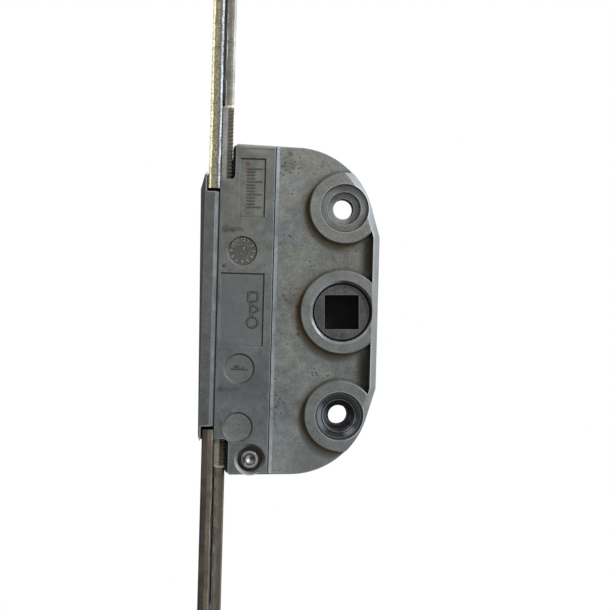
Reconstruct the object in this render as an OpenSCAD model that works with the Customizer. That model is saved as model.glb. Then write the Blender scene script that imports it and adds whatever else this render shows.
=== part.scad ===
// Window espagnolette: gearbox, two faceplate strips and two drive rods.
// X runs from the faceplates to the spindle side and Z runs up along the rods.
// Y is the spindle's axis, with the handle on the -Y side.
// The origin is on the spindle's axis, at the joint of the two housing halves.

/* [Handle] */
// Distance between the two handle screws
screw_pitch = 43; // [41:0.5:45]
// Diameter of the hole in each screw bush
screw_hole_d = 4.3; // [3.6:0.1:5]
// Diameter of the seats for the handle's spigots
spigot_d = 10; // [9.2:0.1:10.4]
// Depth of the spigot seats
spigot_depth = 2.5; // [1.8:0.1:3]
// Side of the square spindle socket
socket_side = 7.1; // [6:0.1:7.4]
// Small turn of the socket at rest, in degrees
socket_turn = 1.5; // [0:0.5:3]

/* [Housing] */
// Distance from the spindle's axis to the right side of the housing
side_x = 7.46; // [7.4:0.02:7.7]
// Half height of the housing at its left wall
body_half = 34.3; // [34.1:0.1:35]
// Half height of the housing where the round corners start
corner_top = 33.85; // [33.4:0.05:34]
// Radius of the round corners
corner_r = 16.45; // [15.8:0.05:16.6]
// Place of the corner's centre, measured from the spindle's axis
corner_x = 10.2; // [9.8:0.1:10.4]
// Slant of the straight stretch below each corner, in degrees
corner_slant = 16.4; // [15:0.2:18]
// Height of the plateau over the housing's joint
plateau_h = 6.5; // [6.3:0.1:6.8]
// Height of the bosses over the housing's joint
boss_h = 7; // [6.9:0.1:7.6]
// Distance from the spindle's axis to the plateau's right edge
plateau_edge = 14.6; // [14.3:0.1:15]
// Width of the bevel along the plateau's right edge
ridge_w = 0.9; // [0.6:0.1:1.2]
// Height of the sloping plane beside the plateau
slope_high = 5.8; // [5.5:0.1:6]
// Height of the sloping plane beside the rim
slope_low = 3; // [2.9:0.1:3.6]
// Width of the bevelled rim on the right
rim_w = 1.4; // [1:0.1:1.6]
// Height where the rim's bevel starts
rim_start = 4.9; // [4.7:0.1:5.4]
// Thickness of the walls round the mechanism
wall = 1.5; // [1.3:0.1:1.6]
// Height of the notches that let the rods out
notch_z = 26.8; // [26.4:0.1:27.4]

/* [Bosses] */
// Diameter of the screw bosses
screw_boss_d = 14.7; // [13.6:0.1:15]
// Diameter of the spindle boss
spindle_boss_d = 17.3; // [16.6:0.1:18]
// How much wider the bosses are at their foot
boss_draft = 0.5; // [0:0.1:0.8]
// Diameter of the pinion's visible face
hub_face_d = 11.4; // [10.8:0.1:11.6]
// Outside diameter of the screw bushes
bush_d = 6.8; // [6.4:0.1:7.2]

/* [Flange and faceplates] */
// Distance from the spindle's axis to the outer face of the faceplates
backset = 28.3; // [27.9:0.1:28.6]
// Width of the faceplates and of the flange
face_w = 16; // [15.6:0.2:18]
// Thickness of the faceplates
face_t = 2.5; // [2.3:0.1:2.7]
// Distance from the spindle's axis to the far end of each faceplate
face_reach = 125; // [124:1:140]
// Distance from the spindle's axis to the near end of each faceplate
face_start = 24.9; // [24.7:0.1:25.4]
// Thickness of the lip outside each faceplate
lip_t = 1.3; // [1.1:0.05:1.5]
// Length of the lip past the flange
lip_len = 4; // [3:0.2:5]

/* [Rods] */
// Thickness of the drive rods
rod_t = 2.1; // [2:0.1:2.3]
// Width of the drive rods
rod_w = 9.2; // [8.6:0.2:9.4]
// Stroke of the rods for a quarter turn of the handle
stroke = 18; // [17.6:0.1:18.2]
// Height where the upper rod's serrations end
upper_serration_top = 41.9; // [40:0.1:42.5]
// Height where the lower rod's serrations end, below the axis
lower_serration_end = 32.6; // [31:0.1:36]
// Pitch of the serrations
serration_pitch = 0.75; // [0.6:0.05:1]
// Depth of the serrations
serration_depth = 0.25; // [0.15:0.05:0.35]

/* [Locking cams] */
// Distance from each faceplate's far end to its cam, at half stroke
cam_from_end = 31; // [29:0.5:32]
// Diameter of the cam rollers
roller_d = 11; // [10:0.5:13]
// Length of the cam rollers
roller_len = 7.5; // [6:0.5:10]
// Diameter of the cam pins
pin_d = 5; // [4.4:0.1:5.2]

/* [Hidden] */
$fn = 64;

// Colours of the real finishes
zinc = [0.47, 0.48, 0.48];
dark_steel = [0.28, 0.28, 0.27];
bright_steel = [0.68, 0.68, 0.68];
yellow_steel = [0.60, 0.55, 0.42];
brown_steel = [0.37, 0.34, 0.30];
black_plastic = [0.08, 0.08, 0.08];

// Clearances: a shaft in its bore, a fixed fit, flat sliding faces, a sliding fit, a loose side
run_gap = 0.05;
fit_gap = 0.02;
flat_gap = 0.1;
slide_gap = 0.2;
side_gap = 0.3;
// Cuts run this far past the face that they open
past = 1;

// Places across the faceplates and rods, measured along X
face_out = -backset;
face_in = face_out + face_t;
rod_back = face_in + flat_gap;
rod_out = face_in + side_gap;
rod_in = rod_out + rod_t;
notch_x = rod_in + 0.6;
back_notch_x = rod_in + flat_gap;

// A fine groove between the plateau and the bevel along its right edge
ridge_in = -plateau_edge + 0.22;
ridge_groove = 0.45;

// Flange: a bevelled outer corner, a near face and a bevel down to the plateau
flange_out = face_out - side_gap - lip_t;
flange_half = face_w / 2;
flange_in = face_in - 0.35;
flange_corner = 0.95;
flange_taper = 0.4;
short_lip = 1.1;
flange_face_end = face_out + 1.45;
flange_groove = 0.15;
front_pocket_gap = 0.7;
lip_end = face_start + lip_len - front_pocket_gap;

// Broken edges of the bosses, of the faceplates and of the rods
boss_edge = 0.2;
face_edge = 0.25;
rod_edge = 0.45;
rod_near_edge = 0.3;

// Gear: a rack and a seven-tooth sector of a twenty-tooth wheel
pitch_r = 2 * stroke / PI;
wheel_teeth = 20;
sector_teeth = 7;
rack_teeth = 8;
tooth_angle = 360 / wheel_teeth;
tooth_pitch = PI * 2 * pitch_r / wheel_teeth;
module_size = 2 * pitch_r / wheel_teeth;
pressure = 20;
base_r = pitch_r * cos(pressure);
tip_r = pitch_r + module_size;
root_r = pitch_r - 1.25 * module_size;
backlash = 0.05;
gear_y0 = -1.5;
gear_y1 = 3;
quarter = 90;

// Slide: as long as its room less the stroke, and at its lower stop at rest
room_half = notch_z - wall;
room_y = plateau_h - wall;
slide_half = room_half - stroke / 2 - 0.1;
slide_z = -stroke / 2;
slide_y = room_y - slide_gap;
slide_left = rod_in + run_gap;
slide_right = -pitch_r - 1.25 * module_size;
rod_grip = 3;

// Screw bushes and the rivet
screw_z = screw_pitch / 2;
bush_face = 0.3;
bush_tube_r = bush_d / 2 - 0.45;
seat_y = -boss_h + spigot_depth;
collar_r = spigot_d / 2 - 0.4;
collar_deep = 0.8;
bush_flange_r = bush_d / 2 + 1.1;
bush_flange_y = boss_h - 1.5;
rivet_x = notch_x + 4.5;
rivet_z = -body_half + 3.4;
rivet_shank_r = 1.65;
rivet_seat_r = 2.55;
rivet_seat_y = 4.6;
rivet_cone = 0.7;
rivet_cone_r = rivet_seat_r + rivet_cone;
rivet_boss_r = rivet_cone_r + 0.05;
peg_r = 1.6;
peg_h = 3.2;

// Pinion hub: two bearing collars and two noses, with an open ring round each nose
hub_ring = 0.4;
hub_bore_d = hub_face_d + 2 * hub_ring;
hub_r = hub_bore_d / 2 - run_gap;
hub_collar_y = 3.2;
hub_face_y = boss_h - 2;
hub_floor_y = boss_h - 1.4;
spring_room = 0.8;
spring_half = 2.6;

// Faceplate screws, rod guides and cams along Z
cam_z = face_reach - cam_from_end;
guide_z = cam_z - stroke;
near_screw_z = guide_z - 12;
far_screw_z = face_reach - 7;
face_screw_r = 2.1;
face_head_r = 4.1;
guide_half = 3.5;
guide_back = rod_in + 1.5;
guide_inner_y = rod_w / 2 + slide_gap;
guide_outer_y = flange_half - side_gap;
guide_rivet_y = (guide_inner_y + guide_outer_y) / 2;
guide_rivet_r = (guide_outer_y - guide_inner_y) / 2 - 0.35;
guide_hole_r = guide_rivet_r + fit_gap;
slot_r = pin_d / 2 + 1.1;
cam_bush_r = slot_r - 0.15;
rod_tail = 9;
roller_out = face_out - 0.6 - roller_len;
head_r = pin_d / 2 + 1.6;

// Points of an arc about c, from angle a0 to a1 in steps
function arc(c, r, a0, a1, steps) =
  [for (i = [0:steps]) let (a = a0 + (a1 - a0) * i / steps) c + r * [cos(a), sin(a)]];

// The same points upside down and in the other order
function flipped(points) = [for (i = [len(points) - 1:-1:0]) [points[i][0], -points[i][1]]];

// Extrudes a shape drawn in X and Z along Y
module across(y0, y1) {
  translate([0, y1, 0]) rotate([90, 0, 0]) linear_extrude(y1 - y0) children();
}

// A cylinder or cone along Y at (x, z), with its radius at y0 and at y1
module disc_y(x, z, y0, y1, r0, r1) {
  translate([x, y1, z]) rotate([90, 0, 0]) cylinder(h = y1 - y0, r1 = r1, r2 = r0);
}

// A cylinder or cone along X at (y, z), with its radius at x0 and at x1
module disc_x(y, z, x0, x1, r0, r1) {
  translate([x0, y, z]) rotate([0, 90, 0]) cylinder(h = x1 - x0, r1 = r0, r2 = r1);
}

// A box from its lowest to its highest corner
module block(low, high) {
  translate(low) cube(high - low);
}

// A slot along Z, cut through along X
module slot_x(r, x0, x1, z0, z1) {
  disc_x(0, z0, x0, x1, r, r);
  disc_x(0, z1, x0, x1, r, r);
  block([x0, -r, z0], [x1, r, z1]);
}

// Right side of the housing: a side, a slanted stretch and a round corner
function right_half(shift, drop) =
  let (c = [-corner_x - shift, corner_top - corner_r - drop])
  let (t = c + corner_r * [cos(corner_slant), sin(corner_slant)])
  let (z = t[1] - (side_x - shift - t[0]) / tan(corner_slant))
  concat([[side_x - shift, z]], arc(c, corner_r, corner_slant, 90, 20));

// Left side of the housing: the wall beside the rods and the notch's round corner
function left_half(notch) = concat(
  arc([notch + 0.7, body_half - 0.7], 0.7, 90, 180, 4),
  arc([notch - 1, notch_z + 1], 1, 0, -90, 6),
  [[face_in, notch_z]]
);

module housing_outline(notch) {
  half = concat(right_half(0, 0), left_half(notch));
  polygon(concat(half, flipped(half)));
}

// Outline without the notches, which stays convex so that its rim can be bevelled
module rim_outline(shift, drop) {
  half = concat(right_half(shift, drop), [[flange_out, body_half - drop + 0.2]]);
  polygon(concat(half, flipped(half)));
}

// Convex blank whose top edge is bevelled, widest on the right and vanishing at the corners
module bevelled_blank() {
  hull() {
    across(-rim_start, 0) rim_outline(0, 0);
    across(-boss_h, -boss_h + 0.01) rim_outline(rim_w, 0.5);
  }
}

// Section of the housing wall: the plateau, a fine groove, a bevel and the plane on its right
module wall_section(high, low) {
  linear_extrude(2 * body_half + 2, center = true)
    polygon([
      [face_in, 0], [face_in, -plateau_h], [-plateau_edge, -plateau_h],
      [-plateau_edge, -plateau_h + ridge_groove], [ridge_in, -plateau_h + ridge_groove],
      [ridge_in, -plateau_h + 0.1], [-plateau_edge + ridge_w, -high], [side_x - rim_w, -low],
      [side_x, -low], [side_x, 0]
    ]);
}

// Raised rim along the right side, which ends inside the two screw bosses
module rim() {
  across(-boss_h, 0)
    intersection() {
      difference() {
        rim_outline(0, 0);
        rim_outline(rim_w, 0);
      }
      translate([0, -screw_z]) square([side_x + past, 2 * screw_z]);
    }
}

module boss(z, d) {
  edge_y = -boss_h + boss_edge;
  disc_y(0, z, -boss_h, edge_y, d / 2 - boss_edge, d / 2);
  disc_y(0, z, edge_y, 0, d / 2, d / 2 + boss_draft);
}

// Section of the flange, up to a point on its near face or down to the plateau
module flange_section(end) {
  linear_extrude(2 * lip_end + 2, center = true)
    polygon(concat(
      [[flange_out, 0], [flange_out, -flange_half + flange_corner],
        [flange_out + flange_corner, -flange_half]],
      end
    ));
}

// Flange up to the faceplates' near ends, with a groove beside the plateau
module flange(gap) {
  pocket_z = face_start - gap;
  intersection() {
    flange_section([
      [flange_face_end, -flange_half], [flange_in, -plateau_h - 0.3],
      [flange_in, -plateau_h + flange_groove], [face_in - flange_groove, -plateau_h + flange_groove],
      [face_in, -plateau_h], [face_in, 0]
    ]);
    block([flange_out, -flange_half, -pocket_z], [face_in, 0, pocket_z]);
  }
}

// Lips that run past the outer faces of the faceplates at both ends of the flange
module lips(gap) {
  lip_in = face_out - gap;
  outer = [[lip_in, 0], [lip_in, lip_end], [lip_in - 0.5, lip_end - 0.7],
    [flange_out + 0.4, lip_end - 2.3], [flange_out, lip_end - 3.8], [flange_out, 0]];
  intersection() {
    flange_section([[lip_in, -flange_half], [lip_in, 0]]);
    across(-flange_half, 0) polygon(concat(outer, flipped(outer)));
  }
}

// Wedge off the flange's outer face, which leans in towards its lower end and shorter lip
module flange_draft() {
  far = lip_end + past;
  low_x = flange_out + 2 * flange_taper;
  low_z = short_lip - lip_end;
  across(-flange_half - past, flange_half + past)
    polygon([
      [flange_out - past, far], [flange_out - 0.02, far], [low_x, low_z + 0.9],
      [low_x + 0.25, low_z], [face_out, low_z - 0.3], [face_out, -far], [flange_out - past, -far]
    ]);
}

// One half of the casting, drawn as the near half and without its bores
module casting(high, low, notch, pocket_gap, lip_gap) {
  intersection() {
    bevelled_blank();
    across(-boss_h, 0) housing_outline(notch);
    union() {
      wall_section(high, low);
      rim();
      boss(screw_z, screw_boss_d);
      boss(-screw_z, screw_boss_d);
      boss(0, spindle_boss_d);
    }
  }
  disc_y(rivet_x, rivet_z, -plateau_h, 0, rivet_boss_r, rivet_boss_r);
  flange(pocket_gap);
  lips(lip_gap);
}

// Rooms for the rods, the slide, the rack and the pinion
module rooms() {
  rod_room = rod_w / 2 + 0.4;
  block([face_in - 0.1, -rod_room, -notch_z - past], [notch_x - 0.1, rod_room, notch_z + past]);
  block([notch_x - 0.2, -room_y, -room_half], [slide_right + slide_gap, room_y, room_half]);
  block([slide_right, gear_y0 - slide_gap, -room_half], [-root_r + 1, gear_y1 + slide_gap, room_half]);
  intersection() {
    disc_y(0, 0, gear_y0 - slide_gap, gear_y1 + slide_gap, tip_r + 0.4, tip_r + 0.4);
    block([-2 * tip_r, -boss_h, -2 * tip_r], [side_x - wall, boss_h, 2 * tip_r]);
  }
}

// Shallow round and square marks left on the plateau by the casting die
mark_x = face_in + 4.85;
mark_depth = 0.4;
mark_slope = 0.3;
mark_circles = [[12.1, 6.2], [-12.2, 6.4], [-24.3, 6.3]];
upper_panel = [[notch_x + 0.9, 19], [notch_x + 6.3, body_half - 3]];
middle_panel = [[face_in + 0.5, -7.6], [-plateau_edge - 1.6, 7.6]];

// Section of a mark from side a to side b, with sloping sides
function mark_section(a, b) =
  [[a - mark_slope, -plateau_h - mark_depth], [a + mark_slope, -plateau_h + mark_depth],
    [b - mark_slope, -plateau_h + mark_depth], [b + mark_slope, -plateau_h - mark_depth]];

module mark_panel(low, high) {
  intersection() {
    linear_extrude(2 * body_half, center = true) polygon(mark_section(low[0], high[0]));
    translate([face_in, 0, 0])
      rotate([0, 90, 0])
        linear_extrude(-plateau_edge - face_in) polygon(mark_section(-high[1], -low[1]));
  }
}

module mark_seats() {
  for (m = mark_circles)
    disc_y(mark_x, m[0], -plateau_h - mark_depth, -plateau_h + mark_depth, m[1] / 2 + 0.3, m[1] / 2 - 0.3);
  mark_panel(upper_panel[0], upper_panel[1]);
  mark_panel(middle_panel[0], middle_panel[1]);
}

module front_housing() {
  color(zinc)
    difference() {
      casting(slope_high, slope_low, notch_x, front_pocket_gap, side_gap);
      flange_draft();
      rooms();
      mark_seats();
      disc_y(0, 0, -boss_h - past, past, hub_bore_d / 2, hub_bore_d / 2);
      disc_y(0, 0, -boss_h - 0.1, -boss_h + 0.5, hub_bore_d / 2 + 0.6, hub_bore_d / 2);
      for (z = [-screw_z, screw_z]) {
        disc_y(0, z, -boss_h - past, -boss_h + spigot_depth, spigot_d / 2, spigot_d / 2);
        disc_y(0, z, -boss_h, past, bush_d / 2 + fit_gap, bush_d / 2 + fit_gap);
      }
      lower_collar(fit_gap, 0);
      disc_y(rivet_x, rivet_z, -boss_h, past, rivet_shank_r + fit_gap, rivet_shank_r + fit_gap);
      disc_y(rivet_x, rivet_z, -plateau_h - past, -rivet_seat_y, rivet_seat_r, rivet_seat_r);
      disc_y(rivet_x, rivet_z, -plateau_h - 0.1, -plateau_h + 0.6, rivet_cone_r + 0.1, rivet_seat_r);
      pegs(fit_gap, 0.3);
    }
}

// Pegs of the back half, and with a gap their holes in the front half
module pegs(gap, deeper) {
  for (p = [[rivet_x, body_half - 3.2], [-corner_x, body_half - 4.5]])
    disc_y(p[0], p[1], -peg_h - deeper, past, peg_r + gap, peg_r + gap);
}

// Collar below the floor of the lower spigot seat, and with a gap its recess
module lower_collar(gap, top) {
  disc_y(0, -screw_z, seat_y + top, seat_y + collar_deep, collar_r + gap, collar_r + gap);
}

module back_housing() {
  color(zinc) {
    difference() {
      mirror([0, 1, 0])
        casting(slope_high, gear_y1 + slide_gap + wall, back_notch_x, fit_gap, fit_gap);
      flange_draft();
      rooms();
      disc_y(0, 0, -past, hub_floor_y, hub_bore_d / 2, hub_bore_d / 2);
      for (z = [-screw_z, screw_z]) {
        disc_y(0, z, -past, boss_h + past, bush_d / 2 + fit_gap, bush_d / 2 + fit_gap);
        disc_y(0, z, bush_flange_y, boss_h + past, bush_flange_r + fit_gap, bush_flange_r + fit_gap);
      }
      disc_y(rivet_x, rivet_z, -past, boss_h, rivet_shank_r + fit_gap, rivet_shank_r + fit_gap);
      disc_y(rivet_x, rivet_z, rivet_seat_y, boss_h, rivet_seat_r, rivet_seat_r);
    }
    pegs(0, 0);
  }
}

// Semi-tubular rivet: a low head at the back and a flared, dimpled end at the front
module housing_rivet() {
  end_r = 1.75;
  color(bright_steel)
    difference() {
      union() {
        disc_y(rivet_x, rivet_z, -rivet_seat_y - 0.1, rivet_seat_y + 0.1, rivet_shank_r, rivet_shank_r);
        disc_y(rivet_x, rivet_z, -plateau_h + 0.3, -rivet_seat_y, end_r, end_r);
        disc_y(rivet_x, rivet_z, rivet_seat_y, plateau_h - 0.1, rivet_seat_r - 0.1, rivet_seat_r - 0.4);
      }
      translate([rivet_x, -plateau_h - 0.4, rivet_z]) sphere(1.45);
    }
}

module screw_bush(z) {
  difference() {
    union() {
      disc_y(0, z, -bush_face, bush_flange_y + 0.1, bush_d / 2, bush_d / 2);
      disc_y(0, z, bush_flange_y, boss_h - 0.1, bush_flange_r, bush_flange_r);
    }
    disc_y(0, z, -boss_h, boss_h + past, screw_hole_d / 2, screw_hole_d / 2);
  }
}

module upper_screw_bush() {
  color(bright_steel) screw_bush(screw_z);
}

// The lower bush reaches up as a tube, whose rolled end holds a collar on the seat's floor
module lower_screw_bush() {
  color(dark_steel) {
    screw_bush(-screw_z);
    difference() {
      union() {
        disc_y(0, -screw_z, seat_y, -bush_face + 0.5, bush_d / 2, bush_d / 2);
        disc_y(0, -screw_z, seat_y, seat_y + 0.4, bush_d / 2 + 0.1, bush_d / 2 + 0.3);
        lower_collar(0, 0.3);
      }
      disc_y(0, -screw_z, -boss_h, past, bush_tube_r, bush_tube_r);
      disc_y(0, -screw_z, seat_y - 0.01, seat_y + 0.4, bush_tube_r + 0.35, bush_tube_r);
    }
  }
}

// Angle by which an involute flank has turned at radius r
function flank_turn(r) =
  let (a = acos(min(1, base_r / r))) tan(a) * 180 / PI - a;

// Half of a pinion tooth's angle at radius r
function half_tooth(r) =
  tooth_angle / 4 - backlash * 180 / (PI * pitch_r) + flank_turn(pitch_r) - flank_turn(r);

module pinion_tooth(angle) {
  steps = 5;
  radii = concat([root_r - 0.4], [for (i = [0:steps]) base_r + (tip_r - base_r) * i / steps]);
  function flank(r, side) = let (a = angle + side * half_tooth(r)) r * [cos(a), sin(a)];
  right = [for (r = radii) flank(r, -1)];
  left = [for (i = [len(radii) - 1:-1:0]) flank(radii[i], 1)];
  polygon(concat(right, left));
}

// Toothed sector, whose middle points 45 degrees below the rack at rest
module pinion_sector() {
  middle = 180 + quarter / 2;
  half_sector = tooth_angle * (sector_teeth - 1) / 2;
  spread = half_sector + tooth_angle / 4;
  polygon(concat([[0, 0]], arc([0, 0], root_r, middle - spread, middle + spread, 24)));
  for (i = [0:sector_teeth - 1])
    pinion_tooth(middle - half_sector + i * tooth_angle);
}

module pinion() {
  color(dark_steel)
    difference() {
      union() {
        disc_y(0, 0, -hub_collar_y, hub_collar_y, hub_r, hub_r);
        disc_y(0, 0, -hub_face_y, hub_face_y, hub_face_d / 2, hub_face_d / 2);
        across(gear_y0, gear_y1) pinion_sector();
      }
      rotate([0, -socket_turn, 0]) {
        block([-socket_side / 2, -boss_h, -socket_side / 2], [socket_side / 2, boss_h, socket_side / 2]);
        block([0, -hub_collar_y, -spring_half], [socket_side / 2 + spring_room, boss_h, spring_half]);
      }
    }
}

// Bowed leaf that stands in the groove beside the socket
module spindle_spring() {
  thick = 0.3;
  low_x = socket_side / 2 + 0.05;
  high_x = socket_side / 2 + spring_room - thick - fit_gap;
  half = hub_collar_y - 0.2;
  bow = [for (i = [-6:6]) [high_x + (low_x - high_x) * cos(15 * i), half * i / 6]];
  back = [for (i = [6:-1:-6]) [bow[i + 6][0] + thick, bow[i + 6][1]]];
  color(dark_steel)
    rotate([0, -socket_turn, 0])
      linear_extrude(2 * spring_half - 0.4, center = true) polygon(concat(bow, back));
}

// Rack teeth drawn in X and Z, with the tooth gaps on the pinion's teeth at rest
module rack_outline() {
  root_x = slide_right;
  tip_x = -pitch_r + module_size;
  half = tooth_pitch / 4 - backlash;
  top = half - module_size * tan(pressure);
  foot = half + 1.25 * module_size * tan(pressure);
  for (i = [0:rack_teeth - 1])
    translate([0, slide_z + (i - (rack_teeth - 1) / 2) * tooth_pitch])
      polygon([
        [root_x - 0.5, -foot], [root_x, -foot], [tip_x, -top],
        [tip_x, top], [root_x, foot], [root_x - 0.5, foot]
      ]);
}

// Serrated edge from z0 up to z1: its points go from root to tip of each tooth
function serrations(x, z0, z1) =
  let (count = floor((z1 - z0) / serration_pitch))
  [for (i = [0:count - 1]) for (p = [[0, 0], [0.5, 1]])
    [x - serration_depth * (1 - p[1]), z0 + (i + p[0]) * serration_pitch]];

module rack_slide() {
  low = slide_z - slide_half;
  high = slide_z + slide_half;
  edge = concat(serrations(slide_left, low, high), [[slide_left - serration_depth, high]]);
  color(dark_steel) {
    across(-slide_y, slide_y)
      polygon(concat([[slide_right - 0.4, low]], edge, [[slide_right - 0.4, high]]));
    across(gear_y0, gear_y1) {
      rack_outline();
      polygon([[slide_right - 1, low], [slide_right, low], [slide_right, high], [slide_right - 1, high]]);
    }
  }
}

// Serrated end of a rod: its teeth face the slide and share the slide's tooth places
module serrated_end(z0, z1) {
  face_y = rod_w / 2 + 0.2;
  half_x = (rod_back + rod_in) / 2;
  side = serrations(rod_in, z0, z1);
  near = serrations(face_y, z0, z1);
  far = [for (i = [len(near) - 1:-1:0]) [-near[i][0], near[i][1]]];
  block([rod_back, -face_y, z0], [half_x, face_y, z1]);
  intersection() {
    across(-face_y, face_y)
      polygon(concat([[rod_out, z0]], side, [[rod_in - serration_depth, z1], [rod_out, z1]]));
    translate([half_x - 0.1, 0, 0])
      rotate([90, 0, 90])
        linear_extrude(rod_in - half_x + 0.1) polygon(concat(near, far));
  }
}

// Flat rod with broken edges and a rebate along its near edge, beside the faceplate
module plain_rod(z0, z1) {
  half = rod_w / 2;
  translate([0, 0, z0])
    linear_extrude(z1 - z0)
      polygon([
        [rod_out, 0], [rod_out, -half + rod_near_edge], [rod_out + rod_near_edge, -half],
        [rod_in - rod_edge, -half], [rod_in, -half + rod_edge], [rod_in, half - rod_edge],
        [rod_in - rod_edge, half], [rod_back, half], [rod_back, 0]
      ]);
}

// Start of the serrations on the slide's own tooth places, nearest to z
function on_slide_teeth(z) =
  let (low = slide_z - slide_half) low + round((z - low) / serration_pitch) * serration_pitch;

module drive_rod(serr0, serr1, rod0, rod1, screw0, pin_z) {
  difference() {
    union() {
      serrated_end(serr0, serr1);
      plain_rod(rod0, rod1);
    }
    slot_x(face_screw_r + 0.3, rod_back - past, rod_in + past, screw0, screw0 + stroke);
    disc_x(0, pin_z, rod_back - past, rod_in + past, pin_d / 2 + fit_gap, pin_d / 2 + fit_gap);
  }
}

upper_cam = cam_z - stroke / 2;
lower_cam = -cam_z - stroke / 2;

module upper_drive_rod() {
  start = on_slide_teeth(slide_z + rod_grip);
  color(yellow_steel)
    drive_rod(start, upper_serration_top, upper_serration_top - 1, upper_cam + rod_tail,
      near_screw_z - stroke, upper_cam);
}

module lower_drive_rod() {
  end = on_slide_teeth(-lower_serration_end);
  color(brown_steel)
    drive_rod(end, slide_z - rod_grip, lower_cam - rod_tail, end + 1,
      -near_screw_z - stroke, lower_cam);
}

// Blank of a faceplate, with a round far end and broken edges
module strip_blank() {
  r = face_w / 2;
  low = face_out + face_edge;
  high = face_in - face_edge;
  flat = r - face_edge;
  end_z = face_reach - r;
  translate([0, 0, face_start])
    linear_extrude(end_z - face_start)
      polygon([
        [low, -r], [high, -r], [face_in, -flat], [face_in, flat],
        [high, r], [low, r], [face_out, flat], [face_out, -flat]
      ]);
  disc_x(0, end_z, face_out, low, flat, r);
  disc_x(0, end_z, low, high, r, r);
  disc_x(0, end_z, high, face_in, r, flat);
}

// Strip with two countersunk screw holes, a cam slot and rivet holes
module faceplate() {
  difference() {
    strip_blank();
    slot_x(slot_r, face_out - past, face_in + past, cam_z - stroke / 2, cam_z + stroke / 2);
    for (z = [near_screw_z, far_screw_z]) {
      disc_x(0, z, face_out - past, face_in + past, face_screw_r, face_screw_r);
      disc_x(0, z, face_out - 0.01, face_out + 2, face_head_r, face_screw_r);
    }
    for (y = [-guide_rivet_y, guide_rivet_y]) {
      disc_x(y, guide_z, face_out - past, face_in + past, guide_hole_r, guide_hole_r);
      disc_x(y, guide_z, face_out - 0.01, face_out + 0.5, guide_rivet_r + 0.5, guide_rivet_r);
    }
  }
}

module upper_faceplate() {
  color(yellow_steel) faceplate();
}

module lower_faceplate() {
  color(brown_steel) mirror([0, 0, 1]) faceplate();
}

// Clip that runs behind the rod and is riveted to the faceplate
module rod_guide() {
  half = guide_outer_y;
  inner = guide_inner_y;
  channel = rod_in + 0.15;
  color(black_plastic)
    difference() {
      translate([0, 0, guide_z - guide_half])
        linear_extrude(2 * guide_half)
          polygon([
            [face_in, -half], [guide_back, -half], [guide_back, half], [face_in, half],
            [face_in, inner], [channel, inner], [channel, -inner], [face_in, -inner]
          ]);
      for (y = [-guide_rivet_y, guide_rivet_y])
        disc_x(y, guide_z, face_in - past, guide_back + past, guide_hole_r, guide_hole_r);
    }
}

module upper_rod_guide() {
  rod_guide();
}

module lower_rod_guide() {
  mirror([0, 0, 1]) rod_guide();
}

module guide_rivets() {
  color(bright_steel)
    for (y = [-guide_rivet_y, guide_rivet_y]) {
      disc_x(y, guide_z, face_out + 0.1, guide_back + 0.1, guide_rivet_r, guide_rivet_r);
      disc_x(y, guide_z, face_out + 0.1, face_out + 0.45, guide_rivet_r + 0.35, guide_rivet_r);
      disc_x(y, guide_z, guide_back, guide_back + 0.6, guide_rivet_r + 0.3, guide_rivet_r);
    }
}

module upper_guide_rivets() {
  guide_rivets();
}

module lower_guide_rivets() {
  mirror([0, 0, 1]) guide_rivets();
}

// Stud through the rod, with an upset tail behind it and a head outside the roller
module cam_pin(z) {
  color(bright_steel) {
    disc_x(0, z, roller_out - 0.2, rod_in + 0.1, pin_d / 2, pin_d / 2);
    disc_x(0, z, rod_in, rod_in + 0.8, pin_d / 2 + 1, pin_d / 2 + 0.6);
    disc_x(0, z, roller_out - 0.7, roller_out - 0.1, head_r, head_r);
    disc_x(0, z, roller_out - 1.2, roller_out - 0.7, head_r - 0.6, head_r);
  }
}

module upper_cam_pin() {
  cam_pin(upper_cam);
}

module lower_cam_pin() {
  cam_pin(lower_cam);
}

// Ring on the pin that runs in the faceplate's slot
module cam_bush(z) {
  color(dark_steel)
    difference() {
      disc_x(0, z, face_out - 0.4, rod_back, cam_bush_r, cam_bush_r);
      disc_x(0, z, face_out - past, rod_back + past, pin_d / 2 + fit_gap, pin_d / 2 + fit_gap);
    }
}

module upper_cam_bush() {
  cam_bush(upper_cam);
}

module lower_cam_bush() {
  cam_bush(lower_cam);
}

// Roller with broken edges, free to turn on its pin
module cam_roller(z) {
  r = roller_d / 2;
  edge = 0.5;
  bore = pin_d / 2 + run_gap;
  color(bright_steel)
    translate([roller_out, 0, z])
      rotate([0, 90, 0])
        rotate_extrude()
          polygon([
            [bore, 0], [r - edge, 0], [r, edge], [r, roller_len - edge],
            [r - edge, roller_len], [bore, roller_len]
          ]);
}

module upper_cam_roller() {
  cam_roller(upper_cam);
}

module lower_cam_roller() {
  cam_roller(lower_cam);
}

front_housing();
back_housing();
housing_rivet();
upper_screw_bush();
lower_screw_bush();
pinion();
spindle_spring();
rack_slide();
upper_drive_rod();
lower_drive_rod();
upper_faceplate();
lower_faceplate();
upper_rod_guide();
lower_rod_guide();
upper_guide_rivets();
lower_guide_rivets();
upper_cam_pin();
lower_cam_pin();
upper_cam_bush();
lower_cam_bush();
upper_cam_roller();
lower_cam_roller();
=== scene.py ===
from math import cos, hypot, pi, radians, sin

import bmesh
import bpy
from mathutils import Matrix, Quaternion, Vector


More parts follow.
